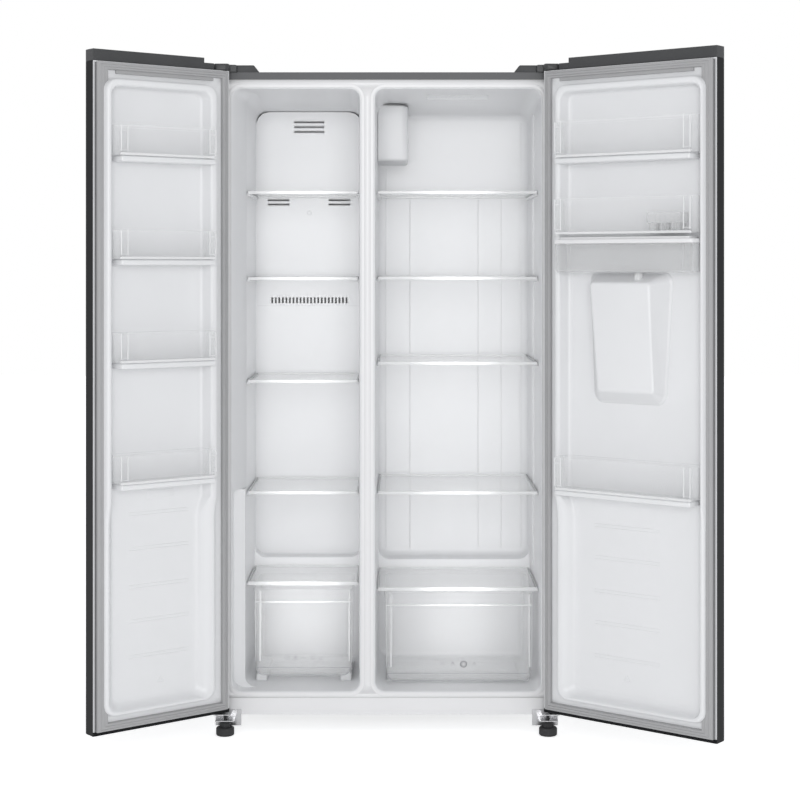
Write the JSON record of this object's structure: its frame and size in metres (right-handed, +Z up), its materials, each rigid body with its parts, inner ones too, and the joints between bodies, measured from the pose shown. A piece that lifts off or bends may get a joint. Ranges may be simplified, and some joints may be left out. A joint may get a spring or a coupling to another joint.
{
  "type": "side by side refrigerator",
  "caption": "Two-door refrigerator with a freezer beside a fridge, both doors open on glass shelves, clear drawers and door bins, with a water tank and dispenser in the wider door.",
  "frame": {"origin": "on the floor, under the centre of the box around the refrigerator with both doors open as stored", "axes": "+X to the right seen from the front, +Y to the back, +Z up"},
  "size_m": [1.5884, 0.9656, 1.778],
  "materials": {
    "cabinet_steel": "matt dark grey",
    "door_steel": "satin black",
    "white_liner": "smooth white",
    "white_frame": "smooth white",
    "dark_plastic": "fine texture",
    "gasket_grey": "soft grey vinyl",
    "clear_plastic": "clear moulded plastic",
    "glass": "clear tempered glass",
    "plated_steel": "zinc plated",
    "galvanised": "galvanised sheet",
    "foam": "rigid foam",
    "black_enamel": "black enamel",
    "copper_tube": "copper plated tube",
    "aluminium_fins": "bare fins",
    "foot_rubber": "hard black"
  },
  "bodies": {
    "cabinet": {"outer_cabinet": "cabinet_steel", "back_panel": "galvanised", "base_pan": "galvanised", "cabinet_foam": "foam", "freezer_liner": "white_liner", "fridge_liner": "white_liner", "face_frame": "white_frame", "kick_plate": "white_frame", "freezer_top_hinge": "plated_steel", "fridge_top_hinge": "plated_steel", "freezer_bottom_hinge": "plated_steel", "fridge_bottom_hinge": "plated_steel", "freezer_hinge_cover": "dark_plastic", "fridge_hinge_cover": "dark_plastic", "compressor": "black_enamel", "machine_cover": "cabinet_steel", "condenser": "copper_tube", "evaporator": "aluminium_fins", "evaporator_fan_motor": "galvanised", "freezer_duct_cover": "white_liner", "damper_housing": "white_liner", "lamp_cover": "clear_plastic"},
    "freezer_door": {"freezer_door_skin": "door_steel", "freezer_door_liner": "white_liner", "freezer_door_gasket": "gasket_grey", "freezer_door_top_cap": "dark_plastic"},
    "fridge_door": {"fridge_door_skin": "door_steel", "fridge_door_liner": "white_liner", "fridge_door_gasket": "gasket_grey", "fridge_door_top_cap": "dark_plastic", "dispenser_housing": "dark_plastic"},
    "fan": {"evaporator_fan": "dark_plastic"},
    "left_foot": {"front_foot_left": "foot_rubber"},
    "right_foot": {"front_foot_right": "foot_rubber"},
    "left_roller": {"rear_roller_left": "dark_plastic"},
    "right_roller": {"rear_roller_right": "dark_plastic"},
    "freezer_drawer": {"freezer_drawer": "clear_plastic"},
    "crisper_drawer": {"crisper_drawer": "clear_plastic"},
    "freezer_drawer_cover": {"freezer_drawer_cover": "glass"},
    "crisper_cover": {"crisper_cover": "glass"},
    "water_tank": {"water_tank": "clear_plastic", "water_tank_lid": "white_frame", "water_tap": "white_frame"},
    "egg_tray": {"egg_tray": "clear_plastic"},
    "dispenser_paddle": {"dispenser_paddle": "dark_plastic"},
    "freezer_shelf_1": {"freezer_shelf_1": "glass"},
    "freezer_shelf_2": {"freezer_shelf_2": "glass"},
    "freezer_shelf_3": {"freezer_shelf_3": "glass"},
    "freezer_shelf_4": {"freezer_shelf_4": "glass"},
    "fridge_shelf_1": {"fridge_shelf_1": "glass"},
    "fridge_shelf_2": {"fridge_shelf_2": "glass"},
    "fridge_shelf_3": {"fridge_shelf_3": "glass"},
    "fridge_shelf_4": {"fridge_shelf_4": "glass"},
    "freezer_door_bin_1": {"freezer_door_bin_1": "clear_plastic"},
    "freezer_door_bin_2": {"freezer_door_bin_2": "clear_plastic"},
    "freezer_door_bin_3": {"freezer_door_bin_3": "clear_plastic"},
    "freezer_door_bin_4": {"freezer_door_bin_4": "clear_plastic"},
    "fridge_door_bin_1": {"fridge_door_bin_1": "clear_plastic"},
    "fridge_door_bin_2": {"fridge_door_bin_2": "clear_plastic"},
    "fridge_door_bin_3": {"fridge_door_bin_3": "clear_plastic"}
  },
  "joints": [
    {"name": "freezer_door_hinge", "type": "hinge", "parent": "cabinet", "child": "freezer_door", "pos_m": [-0.48156, -0.13723, 0.9], "axis": [0, 0, -1], "range_deg": [-142, 0]},
    {"name": "fridge_door_hinge", "type": "hinge", "parent": "cabinet", "child": "fridge_door", "pos_m": [0.39804, -0.13723, 0.9], "axis": [0, 0, 1], "range_deg": [-142, 0]},
    {"name": "freezer_drawer_slide", "type": "slide", "parent": "cabinet", "child": "freezer_drawer", "axis": [0, -1, 0], "range_m": [0, 0.22]},
    {"name": "crisper_drawer_slide", "type": "slide", "parent": "cabinet", "child": "crisper_drawer", "axis": [0, -1, 0], "range_m": [0, 0.24]},
    {"name": "freezer_shelf_1_slide", "type": "slide", "parent": "cabinet", "child": "freezer_shelf_1", "axis": [0, -1, 0], "range_m": [0, 0.28]},
    {"name": "freezer_shelf_2_slide", "type": "slide", "parent": "cabinet", "child": "freezer_shelf_2", "axis": [0, -1, 0], "range_m": [0, 0.28]},
    {"name": "freezer_shelf_3_slide", "type": "slide", "parent": "cabinet", "child": "freezer_shelf_3", "axis": [0, -1, 0], "range_m": [0, 0.28]},
    {"name": "freezer_shelf_4_slide", "type": "slide", "parent": "cabinet", "child": "freezer_shelf_4", "axis": [0, -1, 0], "range_m": [0, 0.28]},
    {"name": "fridge_shelf_1_slide", "type": "slide", "parent": "cabinet", "child": "fridge_shelf_1", "axis": [0, -1, 0], "range_m": [0, 0.34]},
    {"name": "fridge_shelf_2_slide", "type": "slide", "parent": "cabinet", "child": "fridge_shelf_2", "axis": [0, -1, 0], "range_m": [0, 0.34]},
    {"name": "fridge_shelf_3_slide", "type": "slide", "parent": "cabinet", "child": "fridge_shelf_3", "axis": [0, -1, 0], "range_m": [0, 0.34]},
    {"name": "fridge_shelf_4_slide", "type": "slide", "parent": "cabinet", "child": "fridge_shelf_4", "axis": [0, -1, 0], "range_m": [0, 0.34]},
    {"name": "freezer_drawer_cover_slide", "type": "slide", "parent": "cabinet", "child": "freezer_drawer_cover", "axis": [0, -1, 0], "range_m": [0, 0.22]},
    {"name": "crisper_cover_slide", "type": "slide", "parent": "cabinet", "child": "crisper_cover", "axis": [0, -1, 0], "range_m": [0, 0.28]},
    {"name": "freezer_door_bin_1_lift", "type": "slide", "parent": "freezer_door", "child": "freezer_door_bin_1", "axis": [0, 0, 1], "range_m": [0, 0.03]},
    {"name": "freezer_door_bin_2_lift", "type": "slide", "parent": "freezer_door", "child": "freezer_door_bin_2", "axis": [0, 0, 1], "range_m": [0, 0.03]},
    {"name": "freezer_door_bin_3_lift", "type": "slide", "parent": "freezer_door", "child": "freezer_door_bin_3", "axis": [0, 0, 1], "range_m": [0, 0.03]},
    {"name": "freezer_door_bin_4_lift", "type": "slide", "parent": "freezer_door", "child": "freezer_door_bin_4", "axis": [0, 0, 1], "range_m": [0, 0.03]},
    {"name": "fridge_door_bin_1_lift", "type": "slide", "parent": "fridge_door", "child": "fridge_door_bin_1", "axis": [0, 0, 1], "range_m": [0, 0.03]},
    {"name": "fridge_door_bin_2_lift", "type": "slide", "parent": "fridge_door", "child": "fridge_door_bin_2", "axis": [0, 0, 1], "range_m": [0, 0.03]},
    {"name": "fridge_door_bin_3_lift", "type": "slide", "parent": "fridge_door", "child": "fridge_door_bin_3", "axis": [0, 0, 1], "range_m": [0, 0.03]},
    {"name": "egg_tray_lift", "type": "slide", "parent": "fridge_door_bin_2", "child": "egg_tray", "axis": [0, 0, 1], "range_m": [0, 0.06]},
    {"name": "water_tank_lift", "type": "slide", "parent": "fridge_door", "child": "water_tank", "axis": [0, 0, 1], "range_m": [0, 0.006]},
    {"name": "dispenser_paddle_hinge", "type": "hinge", "parent": "fridge_door", "child": "dispenser_paddle", "pos_m": [0.56735, -0.30758, 1.14], "axis": [-0.788, 0.6157, 0], "range_deg": [0, 12], "stiffness_Nm_per_rad": 0.2, "springref_deg": -4.58},
    {"name": "evaporator_fan_spin", "type": "hinge", "parent": "cabinet", "child": "fan", "pos_m": [-0.26876, 0.34677, 1.29], "axis": [0, 1, 0], "continuous": true},
    {"name": "left_foot_turn", "type": "hinge", "parent": "cabinet", "child": "left_foot", "pos_m": [-0.46726, -0.13223, 0.02], "axis": [0, 0, 1], "continuous": true},
    {"name": "left_roller_spin", "type": "hinge", "parent": "cabinet", "child": "left_roller", "pos_m": [-0.43676, 0.43277, 0.02], "axis": [1, 0, 0], "continuous": true},
    {"name": "right_foot_turn", "type": "hinge", "parent": "cabinet", "child": "right_foot", "pos_m": [0.38374, -0.13223, 0.02], "axis": [0, 0, 1], "continuous": true},
    {"name": "right_roller_spin", "type": "hinge", "parent": "cabinet", "child": "right_roller", "pos_m": [0.35324, 0.43277, 0.02], "axis": [1, 0, 0], "continuous": true}
  ]
}
